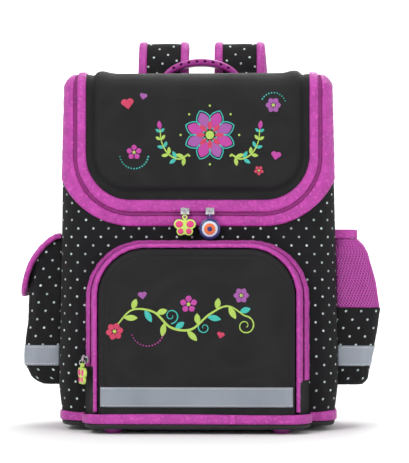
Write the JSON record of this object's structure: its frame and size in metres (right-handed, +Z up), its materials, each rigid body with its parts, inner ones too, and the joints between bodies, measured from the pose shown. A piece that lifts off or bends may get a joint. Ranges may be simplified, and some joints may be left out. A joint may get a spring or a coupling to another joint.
{
  "type": "school ransel",
  "caption": "Stiff box-shaped school backpack with a zipped moulded lid, arched front pocket, side pockets, handle, padded back and shoulder straps, standing on its feet.",
  "frame": {"origin": "middle of the floor area that the bag covers, on the floor under its feet", "axes": "+Z up, the lid and the front pocket face -Y, the shoulder straps are on the +Y side, +X is the viewer's right from the front"},
  "size_m": [0.3812, 0.2582, 0.4213],
  "materials": {
    "dotted_fabric": "matt woven polyester with small pale turquoise dots",
    "moulded_fabric": "smooth fabric over moulded foam",
    "magenta_satin": "satin binding tape",
    "magenta_net": "warp-knitted net",
    "reflective_tape": "grey retroreflective tape with a sheen",
    "zip": "black nylon coil",
    "pocket_zip": "magenta nylon coil",
    "black_plastic": "fine-grained black plastic",
    "magenta_plastic": "satin magenta plastic",
    "handle_rubber": "soft moulded plastic",
    "webbing": "ribbed polypropylene webbing",
    "nickel": "bright nickel",
    "charm_green": "soft moulded rubber",
    "charm_blue": "soft moulded rubber"
  },
  "bodies": {
    "root": {"body_shell": "dotted_fabric", "lid_panel": "moulded_fabric", "lid_band": "magenta_satin", "lid_zip": "zip", "body_band": "magenta_satin", "front_pocket_panel": "moulded_fabric", "front_pocket_piping": "magenta_satin", "front_pocket_zip_band": "magenta_satin", "front_pocket_zip": "pocket_zip", "front_pocket_side_left": "dotted_fabric", "front_pocket_side_right": "dotted_fabric", "front_reflector": "reflective_tape", "base_panel": "black_plastic", "base_binding": "magenta_satin", "base_binding_lap": "magenta_satin", "foot_front_left": "magenta_plastic", "foot_front_right": "magenta_plastic", "foot_back_left": "magenta_plastic", "foot_back_right": "magenta_plastic", "left_pocket": "dotted_fabric", "left_reflector": "reflective_tape", "left_flap": "dotted_fabric", "left_flap_binding": "magenta_satin", "right_pocket": "dotted_fabric", "right_pocket_net": "magenta_net", "right_pocket_elastic": "magenta_satin", "right_reflector": "reflective_tape", "handle": "handle_rubber", "back_panel": "moulded_fabric", "shoulder_strap_left": "dotted_fabric", "strap_binding_left": "magenta_satin", "strap_tab_left": "webbing", "strap_buckle_left": "black_plastic", "strap_webbing_left": "webbing", "strap_anchor_left": "webbing", "lid_pull_left_slider": "nickel", "lid_pull_left_ring": "nickel", "shoulder_strap_right": "dotted_fabric", "strap_binding_right": "magenta_satin", "strap_tab_right": "webbing", "strap_buckle_right": "black_plastic", "strap_webbing_right": "webbing", "strap_anchor_right": "webbing", "lid_pull_right_slider": "nickel", "lid_pull_right_ring": "nickel", "lid_pull_left_charm": "charm_green", "lid_pull_right_charm": "charm_blue", "pocket_pull_slider": "nickel", "pocket_pull_ring": "nickel", "pocket_pull_charm": "charm_green"}
  },
  "joints": []
}
